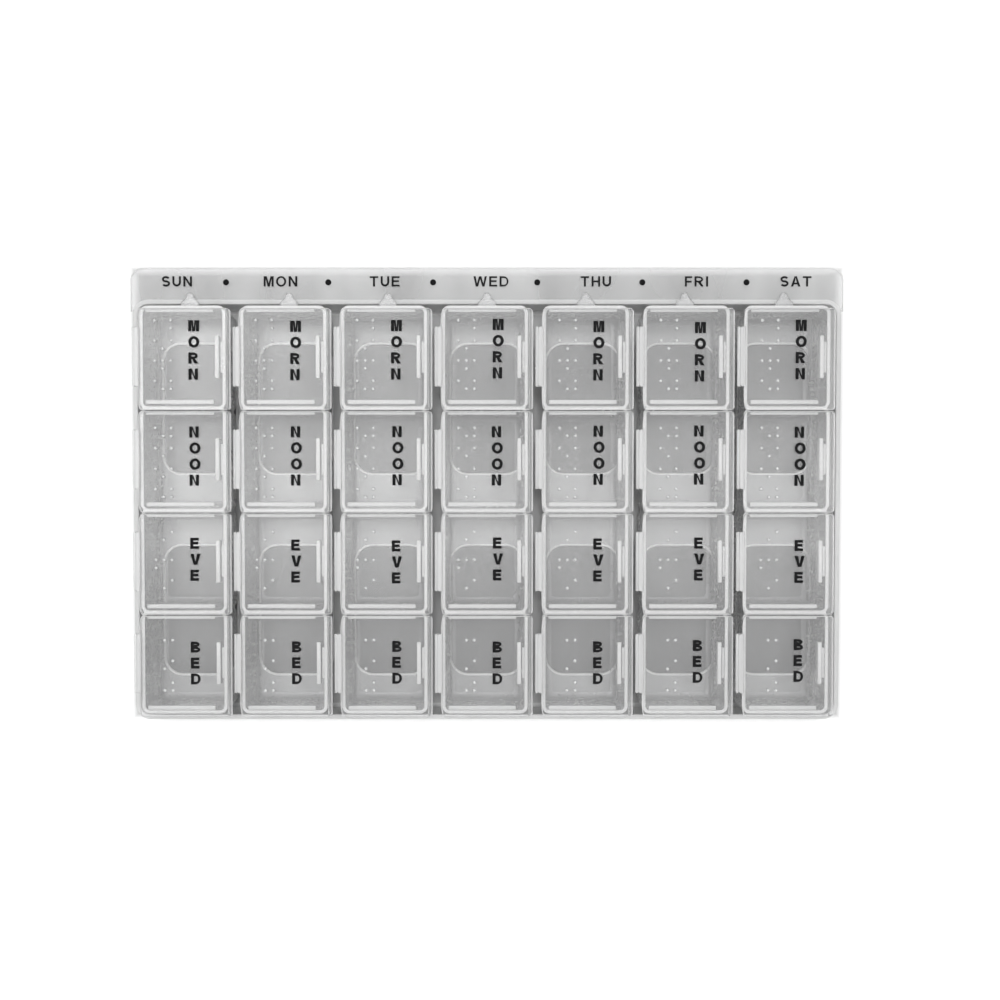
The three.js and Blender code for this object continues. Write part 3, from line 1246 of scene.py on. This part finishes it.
@dataclass
class Studio:
    """A pale floor, soft light and the camera over the tray."""

    distance: float = 0.375
    lens: float = 43.92
    tilt: float = 1.574
    room: float = 0.5
    backdrop: float = 0.96  # how bright the room looks behind the organizer
    shift: tuple[float, float] = (0.0131, 0.0265)
    soft_boxes: tuple[SoftBox, ...] = (
        SoftBox("soft_box_high", (0.0, 0.5, 3.0), (0.35, 0.6), 30.0, shines=False),
        SoftBox("soft_box_front", (0.0, -1.0, 1.1), (0.4, 0.6), 3.0),
        SoftBox("soft_box_wide", (-0.1, 0.38, 1.15), (1.2, 0.3), 4.0),
        SoftBox("soft_box_left", (-0.5, 0.0, 1.15), (0.3, 1.1), 2.6),
        SoftBox("soft_box_right", (0.56, 0.0, 1.15), (0.3, 1.1), 2.2),
    )

    def floor(self) -> None:
        """Lays the floor just below the tray."""
        side, z = 0.9, -0.0003
        mesh = bpy.data.meshes.new("studio_floor")
        mesh.from_pydata(
            [(-side, -side, z), (side, -side, z), (side, side, z), (-side, side, z)],
            [],
            [(0, 1, 2, 3)],
        )
        mesh.materials.append(StudioFloor().material())
        made = bpy.data.objects.new("studio_floor", mesh)
        bpy.context.scene.collection.objects.link(made)

    def hang(self, box: SoftBox) -> None:
        """Hangs a soft box so that it faces the origin."""
        light = bpy.data.lights.new(box.name, "AREA")
        light.shape, light.energy = "RECTANGLE", box.power
        light.size, light.size_y = box.size
        made = bpy.data.objects.new(box.name, light)
        made.location = box.place
        made.rotation_mode = "QUATERNION"
        made.rotation_quaternion = Vector(box.place).to_track_quat("Z", "Y")
        made.visible_glossy = box.shines
        bpy.context.scene.collection.objects.link(made)

    def light(self) -> None:
        """Hangs the soft boxes in a pale room. The high one shines nearly straight down, so
        that light reaches the tray's floor. The others, low and weak, stand before the tray,
        behind it and at its two sides. The room looks brighter to the camera than it lights."""
        world = bpy.data.worlds.new("studio_room")
        bpy.context.scene.world = world
        world.use_nodes = True
        nodes = world.node_tree.nodes
        back = nodes["Background"]
        back.inputs["Color"].default_value = (1, 1, 1, 1)
        seen = nodes.new("ShaderNodeLightPath").outputs["Is Camera Ray"]
        level = nodes.new("ShaderNodeMapRange")
        level.inputs["To Min"].default_value = self.room
        level.inputs["To Max"].default_value = self.backdrop
        world.node_tree.links.new(seen, level.inputs["Value"])
        world.node_tree.links.new(level.outputs[0], back.inputs["Strength"])
        for box in self.soft_boxes:
            self.hang(box)

    def camera(self) -> None:
        """Hangs the camera over the middle of the tray, leaning a little to the front."""
        data = bpy.data.cameras.new("camera")
        data.sensor_width, data.lens = 36.0, self.lens
        data.shift_x, data.shift_y = self.shift
        data.clip_start, data.clip_end = 0.01, 20.0
        made = bpy.data.objects.new("camera", data)
        made.location = (0.0, 0.0005, 0.0225 + self.distance)
        made.rotation_euler = (-math.radians(self.tilt), 0.0, 0.0)
        bpy.context.scene.collection.objects.link(made)
        bpy.context.scene.camera = made

    def build(self) -> None:
        """Sets up the floor, the lights, the camera and how light becomes colour."""
        self.floor()
        self.light()
        self.camera()
        bpy.context.scene.view_settings.view_transform = "Standard"
        if hasattr(bpy.context.scene, "cycles"):
            cycles = bpy.context.scene.cycles
            cycles.max_bounces = 6
            cycles.diffuse_bounces = 2
            cycles.transparent_max_bounces = 24


def main() -> None:
    """Builds the organizer and the studio round it."""
    logging.basicConfig(level=logging.INFO, format="%(name)s %(message)s")
    Studio().build()
    ink = PadInk().material()
    tray_plastic = MilkyPlastic(
        "tray_polypropylene",
        body=(0.71, 0.715, 0.715),
        edge=(0.92, 0.92, 0.92),
        cloud=0.3,
        rim=0.9,
        roughness=0.42,
        glow=0.0,
    ).material()
    body, edge = (0.78, 0.785, 0.79), (0.84, 0.84, 0.84)
    strip_plastic = MilkyPlastic(
        "strip_polypropylene", body, edge, cloud=0.04, rim=0.8, roughness=0.24
    ).material()
    lid_plastic = MilkyPlastic(
        "lid_polypropylene", body, edge, cloud=0.03, rim=0.8, roughness=0.22
    ).material()
    tray, strip, lid = Tray(), DayStrip(), CupLid()
    tray.build(tray_plastic, ink)
    rng = np.random.default_rng(28)
    for day in Day:
        x = (day.value - 3) * tray.column
        strip.build(day, x, tray.strip_y, strip_plastic)
        for hour in Hour:
            slip = tuple(rng.normal(0.0, (0.12, 0.25)))
            place = (x, tray.strip_y + strip.cup_y(hour))
            lid.build(day, hour, place, slip, lid_plastic, ink)


if __name__ == "__main__":
    main()
